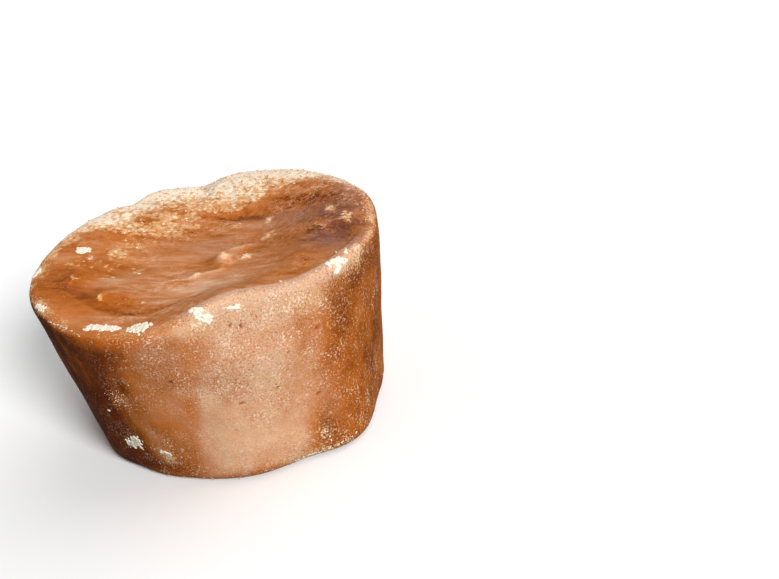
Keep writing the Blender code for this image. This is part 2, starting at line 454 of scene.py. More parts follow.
# White sugar crusts: (start, end, half width, number of flakes, radius of the largest).
CRUSTS = (
    ((-34.1, -31.4, 51.2), (-30.6, -34, 51.2), 1.3, 130, 0.6),  # strip along the front of the rim
    ((-30.8, -33.9, 51.2), (-26.6, -36.9, 51.2), 1.15, 120, 0.55),
    ((-23, -39.4, 51.4), (-19.4, -41.8, 51.7), 1.5, 150, 0.6),
    ((-23.8, -40, 50.6), (-22.2, -41, 50.6), 1.2, 70, 0.55),
    ((-22, -41.6, 50.8), (-20.2, -42.4, 50.8), 1.1, 60, 0.6),
    ((-44.8, -19.8, 51), (-38.9, -29.4, 51), 0.2, 36, 0.24),  # thin white line along its edge, a painted edge highlight
    ((-38.9, -29.4, 51), (-36.8, -33.2, 50.6), 0.25, 16, 0.24),
    ((-34.8, 18.2, 53.2), (-32.9, 17, 53.2), 1.75, 130, 0.6),
    ((-48.4, 7.5, 52.6), (-46.2, 12.5, 53.4), 0.8, 34, 0.55),
    ((-47.6, -10.5, 52.2), (-45.2, -14.6, 52.2), 1.1, 34, 0.6),
    ((-7.2, -44.8, 54.8), (-5, -46.4, 53.6), 1.1, 30, 0.7),
    ((-4.8, -46.8, 53), (-3.6, -47.2, 51.6), 1.3, 24, 0.7),
    ((1.6, -46.5, 52.7), (4.4, -46.4, 52.3), 0.5, 26, 0.5),
    ((29.8, -37.8, 53.2), (33.2, -35.6, 53), 1, 44, 0.6),
    ((32.6, -36.6, 52.4), (31.4, -39, 50.6), 1, 30, 0.5),
    ((33, -36.6, 52), (35, -34.8, 51.8), 1.3, 34, 0.38),
    ((35.2, -33.8, 52.8), (35.6, -32.2, 52.9), 0.6, 12, 0.4),
    ((-36.6, -26.2, 23.6), (-36.2, -26.8, 23.7), 0.3, 6, 0.4),
    ((-34.2, -26.5, 11.2), (-31, -30.1, 14.8), 1.8, 150, 0.45),
    ((-32.4, -28.8, 12.4), (-31.6, -29.8, 11), 0.9, 16, 0.4),
    ((-26, -34, 11.4), (-24.2, -35.2, 10.4), 0.9, 30, 0.4),
    ((17, -43.4, 7.9), (18.8, -42.2, 4.2), 1.2, 22, 0.3),
    ((8, -43.2, 0.8), (17.4, -42.4, 2.2), 0.8, 40, 0.3),
    ((17.4, -42.4, 2.2), (26, -40, 3), 0.8, 30, 0.28),
    ((30, 38.5, 52), (22, 44, 51.5), 1.2, 40, 0.7),  # hidden sides from here on
    ((44, 12, 25), (44.4, 10, 23.5), 1.2, 26, 0.7),
    ((-22, 40.5, 33), (-24.5, 39, 31), 1.4, 30, 0.7),
)

# -------- fields over points

HASH_FACTORS = np.array([73856093, 19349663, 83492791])
HASH_SEED_FACTOR = 2654435
HASH_MIXER = 1274126177
HASH_MASK = 0xFFFFFF
OCTAVE_SHIFT = 17.3  # keeps the lattices of a field's octaves apart


def hashed(cells, seed):
    """A fixed random number between -1 and 1 for each whole-number cell."""
    mixed = (cells * HASH_FACTORS).sum(axis=1) + seed * HASH_SEED_FACTOR
    mixed = (mixed ^ (mixed >> 13)) * HASH_MIXER
    mixed = (mixed ^ (mixed >> 16)) & HASH_MASK
    return mixed / (HASH_MASK // 2) - 1.0


def lattice_noise(points, seed):
    """Smooth random field between -1 and 1 whose lumps are one unit across."""
    cells = np.floor(points).astype(np.int64)
    part = points - cells
    fade = part * part * (3.0 - 2.0 * part)
    total = np.zeros(len(points))
    for corner in itertools.product((0, 1), repeat=3):
        weight = np.prod(np.where(corner, fade, 1.0 - fade), axis=1)
        total += weight * hashed(cells + np.array(corner), seed)
    return total


def clouds(points, span, seed, octaves=3):
    """Lumps of a given span with finer lumps on them, about -1 to 1."""
    total = np.zeros(len(points))
    for octave in range(octaves):
        scaled = points / span * 2**octave + OCTAVE_SHIFT * octave
        total += lattice_noise(scaled, seed + octave) * 0.5**octave
    return total


def rising(low, high, values):
    """0 below low, 1 above high, and a smooth rise between."""
    share = np.clip((values - low) / (high - low), 0.0, 1.0)
    return share * share * (3.0 - 2.0 * share)


def fading(low, high, values):
    """1 below low, 0 above high, and a smooth fall between."""
    return 1.0 - rising(low, high, values)


def stretch(limits, values):
    """1 between the middle two of four limits, 0 outside the outer two, and smooth between."""
    start, full, fade, end = limits
    return rising(start, full, values) * fading(fade, end, values)


def degrees_apart(angles, centre):
    """How far angles lie from a centre, from -180 to 180 degrees."""
    return (angles - centre + 180.0) % 360.0 - 180.0


def near(angles, centre, half_width):
    """1 at an angle, fading to nothing past the half width."""
    return np.exp(-((degrees_apart(angles, centre) / half_width) ** 2))


def reach(angles, least, table):
    """A least reach and what is added to it near some angles: (angle, half width, more)."""
    total = np.full(len(angles), least)
    for centre, half_width, more in table:
        total += more * near(angles, centre, half_width)
    return total


def turned(x, y, degrees):
    """Coordinates along and across a direction turned from +X towards +Y."""
    turn = math.radians(degrees)
    return x * math.cos(turn) + y * math.sin(turn), y * math.cos(turn) - x * math.sin(turn)


def smear_points(points, drawn):
    """Points turned so that X runs along the smears, and squeezed along them to draw a field out."""
    along, across = turned(points[:, 0], points[:, 1], SMEAR_TURN)
    return np.column_stack([along / drawn, across, points[:, 2]])


def patches(points, table):
    """The sum of soft oval patches, seen from above: (x, y, length, width, amount, turn)."""
    total = np.zeros(len(points))
    for x, y, length, width, amount, *turn in table:
        along, across = turned(points[:, 0] / MM - x, points[:, 1] / MM - y, *(turn or [SMEAR_TURN]))
        total += amount * np.exp(-((along / length) ** 2) - (across / width) ** 2)
    return total


def spots(points, table):
    """The sum of soft round spots: (x, y, z, radius, amount)."""
    total = np.zeros(len(points))
    for x, y, z, radius, amount in table:
        apart = np.linalg.norm(points / MM - np.array([x, y, z]), axis=1)
        total += amount * np.exp(-((apart / radius) ** 2))
    return total


def side_patches(skin, table):
    """The sum of soft oval patches on the side: (angle, height, length, width, amount)."""
    total = np.zeros(len(skin.angle))
    for angle, height, length, width, amount in table:
        along = np.radians(degrees_apart(skin.angle, angle)) * skin.radius / MM / length
        total += amount * np.exp(-(along**2) - ((skin.height - height) / width) ** 2)
    return total * skin.sideways


# -------- mesh helpers


def new_object(name, data):
    obj = bpy.data.objects.new(name, data)
    bpy.context.scene.collection.objects.link(obj)
    return obj


def applied(obj):
    """The object with its modifiers applied."""
    mesh = bpy.data.meshes.new_from_object(obj.evaluated_get(bpy.context.evaluated_depsgraph_get()))
    obj.modifiers.clear()
    obj.data = mesh
    return obj


def coordinates(mesh):
    """Vertex places and normals as two (n, 3) arrays."""
    found = []
    for name in ("co", "normal"):
        values = np.zeros(len(mesh.vertices) * 3, np.float32)
        mesh.vertices.foreach_get(name, values)
        found.append(values.reshape(-1, 3).astype(float))
    return found


def set_coordinates(mesh, places):
    mesh.vertices.foreach_set("co", places.astype(np.float32).ravel())
    mesh.update()


def set_attribute(mesh, name, values):
    attribute = mesh.attributes.new(name, "FLOAT", "POINT")
    attribute.data.foreach_set("value", np.clip(values, 0.0, 1.0).astype(np.float32))


def tree_of(obj):
    """A search tree of an object's faces."""
    return BVHTree.FromObject(obj, bpy.context.evaluated_depsgraph_get())


def pointing(degrees):
    """Level direction at an angle."""
    turn = math.radians(degrees)
    return Vector((math.cos(turn), math.sin(turn), 0.0))


# -------- the skin's shape

SAME_POINT = 0.001 * MM  # points closer than this become one
QUAD_BEND = 0.8  # how far two joined triangles may be bent and askew, in radians
QUAD_SKEW = 1.2
RIM_SECTORS = 120
RIM_FACES_UP = 0.35  # least Z of the rim's normals
RIM_RADIUS = 36 * MM  # least distance of the rim from the axis
OUTSIDE = 80 * MM  # a distance past the whole block
WALL_STARTS = 10.4  # how far in the dish falls away behind the low lip
WALL_SHIFT = 3.6  # and how much further in towards the right
LIP_DROP = 0.35
CREASE_DEPTH = 1.1


def rounded_blank():
    """A copy of the CAD block with its facets rounded off."""
    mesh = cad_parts[NODE].data.copy()
    shape = bmesh.new()
    shape.from_mesh(mesh)
    bmesh.ops.remove_doubles(shape, verts=shape.verts, dist=SAME_POINT)
    bmesh.ops.join_triangles(
        shape, faces=shape.faces, angle_face_threshold=QUAD_BEND, angle_shape_threshold=QUAD_SKEW
    )
    shape.to_mesh(mesh)
    shape.free()
    mesh.materials.clear()
    blank = new_object("rounded_blank", mesh)
    blank.modifiers.new("round", "SUBSURF").levels = 2
    return applied(blank)


def add_remesh(obj, cell):
    """Have an object made anew as closed mesh of small even squares."""
    remesh = obj.modifiers.new("remesh", "REMESH")
    remesh.mode = "VOXEL"
    remesh.voxel_size = cell


def evenly_meshed(blank):
    """The rounded block as one closed mesh of small even squares that lie on the blank."""
    block = new_object("jaggery_skin", blank.data.copy())
    add_remesh(block, SKIN_CELL)
    hug = block.modifiers.new("hug", "SHRINKWRAP")
    hug.wrap_method = "NEAREST_SURFACEPOINT"
    hug.target = blank
    return applied(block)


class Skin:
    """The skin's points with what the fields need to know about each."""

    def __init__(self, mesh):
        self.places, self.normals = coordinates(mesh)
        self.radius = np.hypot(self.places[:, 0], self.places[:, 1])
        self.angle = np.degrees(np.arctan2(self.places[:, 1], self.places[:, 0])) % 360.0
        self.height = self.places[:, 2] / MM
        # Shares of top, base and side at each point, by the tilt of its normal.
        self.upward = rising(0.25, 0.80, self.normals[:, 2])
        self.downward = rising(0.75, 0.98, -self.normals[:, 2])
        self.sideways = 1.0 - self.upward - self.downward
        self.lean = self.angle - SIDE_LEAN * (self.height - LEAN_HEIGHT)
        edge_radius, crest_height = self.rim()
        self.inward = (edge_radius - self.radius) / MM
        self.below_crest = (crest_height - self.places[:, 2]) / MM
        self.past_rim = rising(*RIM_BREADTH, self.inward)
        self.on_rim = 1.0 - self.past_rim

    def rim(self):
        """Radius of the rim's outer edge and height of its crest at each point's angle."""
        facing_up = (self.normals[:, 2] > RIM_FACES_UP) & (self.radius > RIM_RADIUS)
        sector = (self.angle[facing_up] / 360.0 * RIM_SECTORS).astype(int) % RIM_SECTORS
        edge_radii = np.zeros(RIM_SECTORS)
        crest_heights = np.zeros(RIM_SECTORS)
        np.maximum.at(edge_radii, sector, self.radius[facing_up])
        np.maximum.at(crest_heights, sector, self.places[facing_up, 2])
        middles = (np.arange(RIM_SECTORS + 2) - 0.5) * 360.0 / RIM_SECTORS
        found = []
        for values in (edge_radii, crest_heights):
            evened = (np.roll(values, 1) + values * 2 + np.roll(values, -1)) / 4
            around = np.concatenate([evened[-1:], evened, evened[:1]])
            found.append(np.interp(self.angle, middles, around))
        return found


def foam_cover(skin):
    """Share of the dish's far slope covered by set foam, most at the rim."""
    width = reach(skin.angle, FOAM_REACH, FOAM_REACHES)
    drawn = smear_points(skin.places, 1.4)
    ragged = (skin.inward + 3.0 * clouds(drawn, 6 * MM, SEED + 11)) / width
    cover = (0.70 - 0.24 * ragged) * fading(0.70, 1.25, ragged)
    cover *= rising(0.0, 1.0, width / 6.0)
    crumbs = tuple((x, y, 0.7, 1.0, 0.66) for x, y in DISH_CRUMBS)
    cover += patches(skin.places, DISH_FOAM + crumbs) + 1.8 * patches(skin.places, CLEAR_STREAKS)
    cover += 0.20 * clouds(drawn, 3.2 * MM, SEED + 13, 2) * rising(0.05, 0.30, cover)
    return np.maximum(cover, 0.0) * skin.upward


def cream_cover(skin):
    """Share covered by the pale crystalline band along the far rim."""
    width = reach(skin.angle, CREAM_REACH, CREAM_REACHES)
    ragged = skin.inward + 1.2 * clouds(skin.places, 4 * MM, SEED + 21)
    band = 0.95 * stretch(CREAM_RIM, skin.angle) * fading(0.35, 1.35, ragged / width)
    return band * (1.0 - rising(0.5, 2.5, skin.below_crest) * skin.sideways)


def smooth_band(skin):
    """1 on the smooth rounded top of the near rim."""
    across = stretch((0.6, 2.0, 3.4, 4.2), skin.inward)
    return stretch(SMOOTH_RIM, skin.angle) * across * fading(1.5, 3.0, skin.below_crest)


def rubbed(skin):
    """Share rubbed to a pale dusty pink: the crest of the near rim and the side just under it."""
    crest = fading(2.0, 5.0, skin.below_crest)
    under = (1.0 - crest) * fading(6.0, 14.0, skin.below_crest)
    amount = 0.85 * crest + 0.55 * under * near(skin.angle, 282, 17)
    near_side = stretch(RUBBED_RIM, skin.angle) * fading(3.4, 4.2, skin.inward) * amount
    right = near(skin.angle, 14, 26) * skin.upward * fading(4.0, 8.0, skin.inward)
    return near_side + 0.20 * right + 0.2 * cream_cover(skin) + side_patches(skin, DUSTY_PATCHES)


def front_lip(skin, outer, inner):
    """1 between two distances in from the line where the dish falls away behind the low front lip."""
    past_line = skin.inward - WALL_STARTS - WALL_SHIFT * rising(238, 258, skin.angle)
    around = stretch(LOW_LIP, skin.angle)
    past_outer = rising(outer - 0.4, outer + 0.4, past_line)
    return around * past_outer * fading(inner - 0.4, inner + 1.2, past_line) * skin.upward


def crease(skin):
    """How deep the dish falls behind the near rim, in millimetres."""
    depth = CREASE_DEPTH * stretch(STEEP_RIM, skin.angle) * rising(3.4, 4.6, skin.inward)
    return depth * fading(7.0, 18.0, skin.inward) * skin.upward


def relief(skin):
    """How far each point of the skin stands out, in millimetres."""
    places = skin.places
    dish = skin.upward * skin.past_rim
    rim = skin.upward * skin.on_rim
    # The side and the rim are wavy, with fine lumps.
    out = 0.16 * clouds(places, 11 * MM, SEED) * (skin.sideways + rim)
    out += 0.05 * clouds(places, 2.4 * MM, SEED + 3) * skin.sideways
    out += 0.10 * clouds(places, 1.7 * MM, SEED + 5) * rim * (1.0 - smooth_band(skin))
    # The dish has folds and ripples drawn out along the smears.
    out += 0.07 * clouds(smear_points(places, 6.0), 2.2 * MM, SEED + 6, 2) * dish
    out += 0.20 * clouds(smear_points(places, 2.6), 6.5 * MM, SEED + 8, 2) * dish
    ripples = rising(-0.1, 0.7, clouds(places, 13 * MM, SEED + 14, 2)) + patches(places, RIPPLES)
    out += 0.10 * clouds(smear_points(places, 2.0), 2.6 * MM, SEED + 15, 2) * dish * ripples
    # The foam is frothy and the cream band finely crystalline.
    froth = clouds(smear_points(places, 1.2), 1.9 * MM, SEED + 9)
    from_edge = rising(2.0, 9.0, skin.inward)
    out += froth * np.clip(foam_cover(skin), 0.0, 0.7) * (0.08 + 0.45 * from_edge)
    out += 0.06 * clouds(places, 1.3 * MM, SEED + 10) * cream_cover(skin)
    out += patches(places, DISH_RELIEF) * dish - LIP_DROP * front_lip(skin, 0.0, 6.0)
    return out - crease(skin)


def pit_list():
    """The largest pits and the scattered ones: (angle, height, radius, depth)."""
    random = np.random.default_rng(SEED)
    pits = list(PITS)
    for _ in range(SCATTERED_PITS):
        angle = random.uniform(*PIT_ANGLES)
        radius = random.uniform(*PIT_RADII)
        pits.append((angle % 360, random.uniform(*PIT_HEIGHTS), radius, radius * random.uniform(*PIT_DEPTHS)))
    return pits


def pitted(skin, tree):
    """How deep the pits are at each point, in millimetres; each is longer round the block than high."""
    depth = np.zeros(len(skin.places))
    uneven = 0.3 * clouds(skin.places, 1.0 * MM, SEED + 16, 1)
    for angle, height, radius, deep in pit_list():
        outward = pointing(angle)
        hit = tree.ray_cast(outward * OUTSIDE + Vector((0, 0, height * MM)), -outward)[0]
        offset = (skin.places - np.array(hit)) / (radius * MM)
        along = offset @ np.array([-outward.y, outward.x, 0.0])
        apart = np.sqrt(np.maximum((offset**2).sum(axis=1) - 0.6 * along**2, 0.0))
        depth = np.maximum(depth, deep * fading(0.35, 1.0, apart + uneven))
    return depth


# -------- the skin's masks


def side_tone(skin):
    """Depth of colour of the side: clear left, toffee beside it, dry front and back, and a deeper red-brown
    right flank that is painted shade.
    """
    angle = skin.angle
    wavering = angle + 7.0 * clouds(skin.places, 16 * MM, SEED + 37, 2)
    clear = rising(*CLEAR_STARTS, wavering) * fading(*CLEAR_ENDS, skin.lean)
    toffee = rising(*TOFFEE_STARTS, wavering) * fading(*TOFFEE_ENDS, skin.lean)
    # The angle runs on past 360 from the front to the back.
    past_front = (angle - 200.0) % 360.0 + 200.0
    past_front += skin.lean - angle
    # Painted shade deepens the right flank.
    right_shade = rising(*RIGHT_SHADE_STARTS, past_front) * fading(*RIGHT_SHADE_ENDS, past_front + wavering - angle)
    side = DRY_SIDE - CLEAR_DEEPENS * clear - TOFFEE_DEEPENS * toffee + 0.09 * near(angle, 281, 20)
    side += 0.10 * clouds(skin.places, 9 * MM, SEED + 31, 2)
    upright = skin.places / np.array([1.0, 1.0, 4.0])
    side += 0.12 * clouds(upright, 3 * MM, SEED + 32, 2) * (0.3 + clear + 0.4 * toffee)
    side += side_patches(skin, SIDE_TONES) - RIGHT_SHADE_DEEPENS * right_shade
    return side


def dish_tone(skin):
    """Depth of colour of the dish and the rim."""
    top = DISH + patches(skin.places, DISH_TONES)
    top += 0.05 * clouds(smear_points(skin.places, 4.0), 5 * MM, SEED + 33, 2)
    rim = skin.upward * skin.on_rim
    top += rim * (0.20 * near(skin.angle, 290, 40) + 0.04 * near(skin.angle, 20, 40))
    # Paler on the low lip, and darker just past its edge as painted shade where the dish steps down.
    top += 0.08 * front_lip(skin, -8.0, 0.0) - 0.16 * front_lip(skin, 0.0, 3.0)
    return top


def tone(skin):
    """Depth of colour: 0 is deep clear amber, 1 is cream."""
    return side_tone(skin) * (1.0 - skin.upward) + dish_tone(skin) * skin.upward


def sugar_cover(skin):
    """Share of the skin covered by pale sugar crystals."""
    angle = skin.angle
    cover = np.maximum(foam_cover(skin), cream_cover(skin))
    upper = stretch((1.6, 3.2, 5.0, 10.0), skin.below_crest)
    cover += 0.38 * near(angle, 281, 20) * upper * skin.sideways
    cover += 0.12 * skin.sideways * (1.0 - near(angle, 222, 38))
    cover += side_patches(skin, SIDE_SUGAR) + spots(skin.places, SUGAR_SPOTS)
    edge = fading(1.0, 3.5, skin.inward) * skin.upward
    pale = 0.12 * near(angle, 15, 40) - 0.20 * near(angle, 225, 26)
    cover += edge * (0.10 + pale)
    cover += 0.20 * fading(0.6, 2.2, skin.height) * skin.sideways
    return cover * (1.0 - 0.8 * smooth_band(skin))


def glow(skin):
    """Share of clear orange: a painted glow where light shines through the thin edge under the rim, and
    patches of clear orange.
    """
    under_rim = stretch((0.5, 2.0, 3.0, 6.5), skin.below_crest)
    side = 0.75 * under_rim * stretch(THIN_RIM, skin.angle) * skin.sideways
    return side + side_patches(skin, SIDE_GLOW) + patches(skin.places, DISH_GLOW) * skin.upward


def grit(skin):
    """How crumbly the skin looks: 0 is smooth, 1 is full of crumbs and specks."""
    side = 0.50 + 0.35 * clouds(skin.places, 11 * MM, SEED + 35, 2) + side_patches(skin, SIDE_GRIT)
    dish = 0.30 + 0.30 * clouds(skin.places, 8 * MM, SEED + 36, 2) + patches(skin.places, DISH_GRIT)
    dish += skin.on_rim * (0.25 - 0.60 * near(skin.angle, 222, 30))
    return side * (1.0 - skin.upward) + dish * skin.upward


def haze_and_shade(skin):
    """Share of a grey veil: pale wisps on the dish, painted shade at its right, and the smooth crest of the
    near rim.
    """
    return patches(skin.places, HAZE_AND_SHADE) * skin.upward + 0.42 * smooth_band(skin)


def dryness(skin):
    """1 where the sugar is dry and grainy, 0 where it is smooth and waxy."""
    dry = skin.sideways + skin.upward * fading(1.5, 5.0, skin.inward)
    return dry * (1.0 - 0.6 * smooth_band(skin))


def build_block():
    """The whole block with the relief of its skin and the masks that its material reads."""
    blank = rounded_blank()
    block = evenly_meshed(blank)
    bpy.data.objects.remove(blank)
    skin = Skin(block.data)
    pits = pitted(skin, tree_of(block))
    # The base stays flat.
    moves = (relief(skin) - pits) * (1.0 - skin.downward) * rising(0.0, 2.5, skin.height)
    set_coordinates(block.data, skin.places + skin.normals * moves[:, None] * MM)
    masks = {
        "tone": tone(skin),
        "sugar": sugar_cover(skin),
        "haze_and_shade": haze_and_shade(skin),
        "dry": dryness(skin),
        "grit": grit(skin),
        "glow": glow(skin),
        "rubbed": rubbed(skin),
        "pit": pits / PIT_DARKEST,
        "cream": cream_cover(skin),
    }
    for name, values in masks.items():
        set_attribute(block.data, name, values)
    block.data.shade_smooth()
    return block, skin


# -------- the white sugar

FLAKE_RADII = (0.5, 1.0)  # share of the largest
FLAKE_WIDTHS = (0.7, 1.0)  # share of the flake's radius
FLAKE_HEIGHTS = (0.5, 0.75)
CRUST_ROUGHNESS = 0.10
GRAIN_RADII = (0.10, 0.25)
GRAIN_CORNERS = (0.7, 1.3)  # how far out its corners lie, in radii
GRAIN_STRAYS = 0.25  # how far a grain lies from its point of the skin
GRAIN_RISES = (-0.7, 0.2)  # how far out its middle lies, in radii
FOAM_STARTS = 0.12  # in thicker foam the grains are larger and drawn out along the smears
FOAM_GRAIN_SCALE = 1.4
FOAM_GRAIN_DRAWN = (0.3, 1.6)


def flake(radii, normal, place, spin):
    """A small rounded flake that lies on the skin, as its own mesh."""
    shape = bmesh.new()
    bmesh.ops.create_icosphere(shape, subdivisions=2, radius=1.0)
    facing = normal.to_track_quat("Z", "Y") @ Quaternion((0, 0, 1), spin)
    for vertex in shape.verts:
        stretched = Vector(part * radius for part, radius in zip(vertex.co, radii))
        vertex.co = facing @ stretched + place
    mesh = bpy.data.meshes.new("flake")
    shape.to_mesh(mesh)
    shape.free()
    return mesh


def add_flakes(flakes, tree, random, crust):
    """Strew the flakes of one crust over the skin."""
    start, end, half_width, number, largest = crust
    for index in range(number):
        middle = Vector(start).lerp(Vector(end), (index + random.uniform(0, 1)) / number)
        outline = Vector(random.normal(0, 1, 3)).normalized() * half_width
        ragged = 1.10 + 0.35 * clouds(np.array([middle + outline]), 1.9, SEED + 62, 2)[0]
        spread = outline * ragged * random.uniform(0, 1) ** 0.5
        place, normal = tree.find_nearest((middle + spread) * MM)[:2]
        size = random.uniform(*FLAKE_RADII) * largest * MM
        radii = (size, size * random.uniform(*FLAKE_WIDTHS), size * random.uniform(*FLAKE_HEIGHTS))
        loose = flake(radii, normal, place, random.uniform(0, 6))
        flakes.from_mesh(loose)
        bpy.data.meshes.remove(loose)


def build_crusts(block):
    """Crumbly patches of white sugar: small flakes that merge where they meet."""
    tree = tree_of(block)
    random = np.random.default_rng(SEED + 1)
    flakes = bmesh.new()
    for crust in CRUSTS:
        add_flakes(flakes, tree, random, crust)
    mesh = bpy.data.meshes.new("sugar_crust")
    flakes.to_mesh(mesh)
    flakes.free()
    piece = new_object("sugar_crust", mesh)
    add_remesh(piece, CRUST_CELL)
    piece = applied(piece)
    places, normals = coordinates(piece.data)
    rough = CRUST_ROUGHNESS * clouds(places, 0.6 * MM, SEED + 61)
    set_coordinates(piece.data, places + normals * rough[:, None] * MM)
    piece.data.shade_smooth()
    return piece


def grain_density(skin):
    """How thickly loose crystals lie on the skin: a share of the places that could hold one."""
    angle = skin.angle
    # On the foam, the cream band and the edge of the rim.
    foam = np.clip(foam_cover(skin), 0.0, 1.0)
    density = 0.14 * foam**1.5 * rising(0.08, 0.25, foam) + 0.10 * cream_cover(skin)
    edge = skin.upward * fading(1.0, 3.0, skin.inward) * (1.0 - smooth_band(skin))
    density += edge * (0.02 + 0.08 * near(angle, 10, 30))
    corner = fading(1.0, 4.0, skin.below_crest) * fading(2.5, 4.0, skin.inward)
    density += 0.22 * near(angle, 317, 9) * corner
    # On the side, in loose clumps, but for the clear left and the right flank.
    upper = near(angle, 284, 18) * fading(4.0, 12.0, skin.below_crest)
    clear = near(angle, 215, 32) + 0.6 * near(angle, 330, 30)
    clumped = rising(0.2, 0.9, clouds(skin.places, 5 * MM, SEED + 17, 2))
    density += skin.sideways * (0.05 * clumped + 0.05 * upper) * (1.0 - 0.9 * clear)
    density += 0.15 * side_patches(skin, SIDE_SUGAR) + side_patches(skin, SPECKLES)
    density += 0.12 * skin.sideways * fading(0.5, 2.5, skin.height)
    # The far edge of the rim is bare, and so is the base.
    density *= 1.0 - near(angle, 85, 45) * fading(0.8, 2.0, skin.inward)
    return density * (1.0 - skin.downward) * rising(0.0, 0.5, skin.height)


def grain_shape():
    """Corners of a round grain about the origin, and its faces as corner numbers."""
    shape = bmesh.new()
    bmesh.ops.create_icosphere(shape, subdivisions=1, radius=1.0)
    corners = np.array([vertex.co for vertex in shape.verts])
    sides = np.array([[vertex.index for vertex in face.verts] for face in shape.faces])
    shape.free()
    return corners, sides


def build_grains(block, skin):
    """Loose crystals: small angular grains half sunk into the skin."""
    random = np.random.default_rng(SEED + 2)
    places, normals = coordinates(block.data)
    chosen = np.flatnonzero(random.uniform(0, 1, len(places)) < grain_density(skin))
    foam = np.clip(foam_cover(skin), 0.0, 1.0)[chosen] > FOAM_STARTS
    corners, sides = grain_shape()
    number, count = len(chosen), len(corners)
    size = random.uniform(*GRAIN_RADII, number) * np.where(foam, FOAM_GRAIN_SCALE, 1.0)
    size *= 0.6 + 0.4 * rising(1.0, 4.0, skin.inward[chosen])
    size *= 1.0 - 0.2 * skin.sideways[chosen]
    bodies = corners[None, :, :] * random.uniform(*GRAIN_CORNERS, (number, count, 1)) * size[:, None, None]
    along = np.array(pointing(SMEAR_TURN))
    drawn = np.where(foam, random.uniform(*FOAM_GRAIN_DRAWN, number), 0.0)[:, None, None]
    bodies += (bodies @ along)[:, :, None] * along * drawn
    middles = places[chosen] + random.uniform(-GRAIN_STRAYS, GRAIN_STRAYS, (number, 3)) * MM
    middles += normals[chosen] * (random.uniform(*GRAIN_RISES, number) * size)[:, None] * MM
    points = (middles[:, None, :] + bodies * MM).reshape(-1, 3)
    faces = (sides[None, :, :] + (np.arange(number) * count)[:, None, None]).reshape(-1, 3)
    mesh = bpy.data.meshes.new("sugar_grains")
    mesh.from_pydata(points.tolist(), [], faces.tolist())
    set_attribute(mesh, "tone", np.repeat(random.uniform(0, 1, number), count))
    return new_object("sugar_grains", mesh)


# -------- material helpers


class Value:
    """A node's output, which adds, subtracts and multiplies like a number."""

    def __init__(self, nodes, socket):
        self.nodes = nodes
        self.socket = socket

    def __add__(self, other):
        return self.nodes.math("ADD", self, other)

    def __sub__(self, other):
        return self.nodes.math("SUBTRACT", self, other)

    def __rsub__(self, other):
        return self.nodes.math("SUBTRACT", other, self)

    def __mul__(self, other):
        return self.nodes.math("MULTIPLY", self, other)


class Nodes:
    """A new material, with short ways to add and join its nodes."""

    def __init__(self, name):
        self.material = bpy.data.materials.new(name)
        self.material.use_nodes = True
        self.tree = self.material.node_tree
        self.shader = self.tree.nodes["Principled BSDF"]

    def join(self, source, target):
        if isinstance(source, Value):
            self.tree.links.new(source.socket, target)
        else:
            target.default_value = source

    def set(self, **inputs):
        """Give numbers or values to the shader's own inputs, named with _ for each space."""
        for name, source in inputs.items():
            self.join(source, self.shader.inputs[name.replace("_", " ")])

    def add(self, kind, output, inputs, **settings):
        """One output of a new node with these inputs and settings."""
        node = self.tree.nodes.new("ShaderNode" + kind)
        for name, setting in settings.items():
            setattr(node, name, setting)
        for name, source in inputs.items():
            self.join(source, node.inputs[name])
        return Value(self, node.outputs[output])

    def math(self, operation, first, second):
        return self.add("Math", 0, {0: first, 1: second}, operation=operation)

    def attribute(self, name):
        return self.add("Attribute", "Fac", {}, attribute_name=name)

    def object_points(self, drawn=1.0):
        """Places on the object, drawn out along the smears if asked."""
        inputs = {"Vector": self.add("TexCoord", "Object", {})}
        if drawn != 1.0:
            inputs["Rotation"] = (0.0, 0.0, math.radians(SMEAR_TURN))
            inputs["Scale"] = (drawn, 1.0, 1.0)
        return self.add("Mapping", "Vector", inputs, vector_type="TEXTURE")

    def noise(self, points, span, detail=2.0, roughness=0.5):
        """Noise whose lumps are about a span across, 0 to 1."""
        inputs = {"Vector": points, "Scale": 1.0 / span, "Detail": detail, "Roughness": roughness}
        return self.add("TexNoise", "Fac", inputs)

    def ramp(self, value, low, high, out_low=0.0, out_high=1.0):
        """A value between low and high, as a smooth share between the out values."""
        inputs = {"Value": value, "From Min": low, "From Max": high, "To Min": out_low, "To Max": out_high}
        return self.add("MapRange", "Result", inputs, interpolation_type="SMOOTHSTEP")

    def mix(self, share, *colours):
        """Two colours mixed by a share; a colour is a value or (red, green, blue)."""
        first, second = ((*colour, 1.0) if isinstance(colour, tuple) else colour for colour in colours)
        return self.add("Mix", 2, {0: share, 6: first, 7: second}, data_type="RGBA")

    def palette(self, value, stops):
        """A colour from a list of (place, colour)."""
        found = self.add("ValToRGB", "Color", {"Fac": value})
        elements = found.socket.node.color_ramp.elements
        while len(elements) < len(stops):
            elements.new(1.0)
        for element, (place, colour) in zip(elements, stops):
            element.position = place
            element.color = (*colour, 1.0)
        return found

    def bump(self, height, strength, distance, below=None):
        inputs = {"Height": height, "Strength": strength, "Distance": distance}
        if below is not None:
            inputs["Normal"] = below
        return self.add("Bump", "Normal", inputs)


# -------- materials

# Colours of the sugar from clear and deep to dry and pale.
SUGAR_TONES = (
    (0.00, (0.110, 0.018, 0.002)),
    (0.20, (0.330, 0.086, 0.008)),
    (0.40, (0.430, 0.142, 0.036)),
    (0.55, (0.500, 0.198, 0.078)),
    (0.75, (0.600, 0.312, 0.176)),
    (1.00, (0.730, 0.490, 0.300)),
)
# A grey veil, also painted as shade at the right of the dish.
HAZE_AND_SHADE_COLOUR = (0.32, 0.155, 0.100)
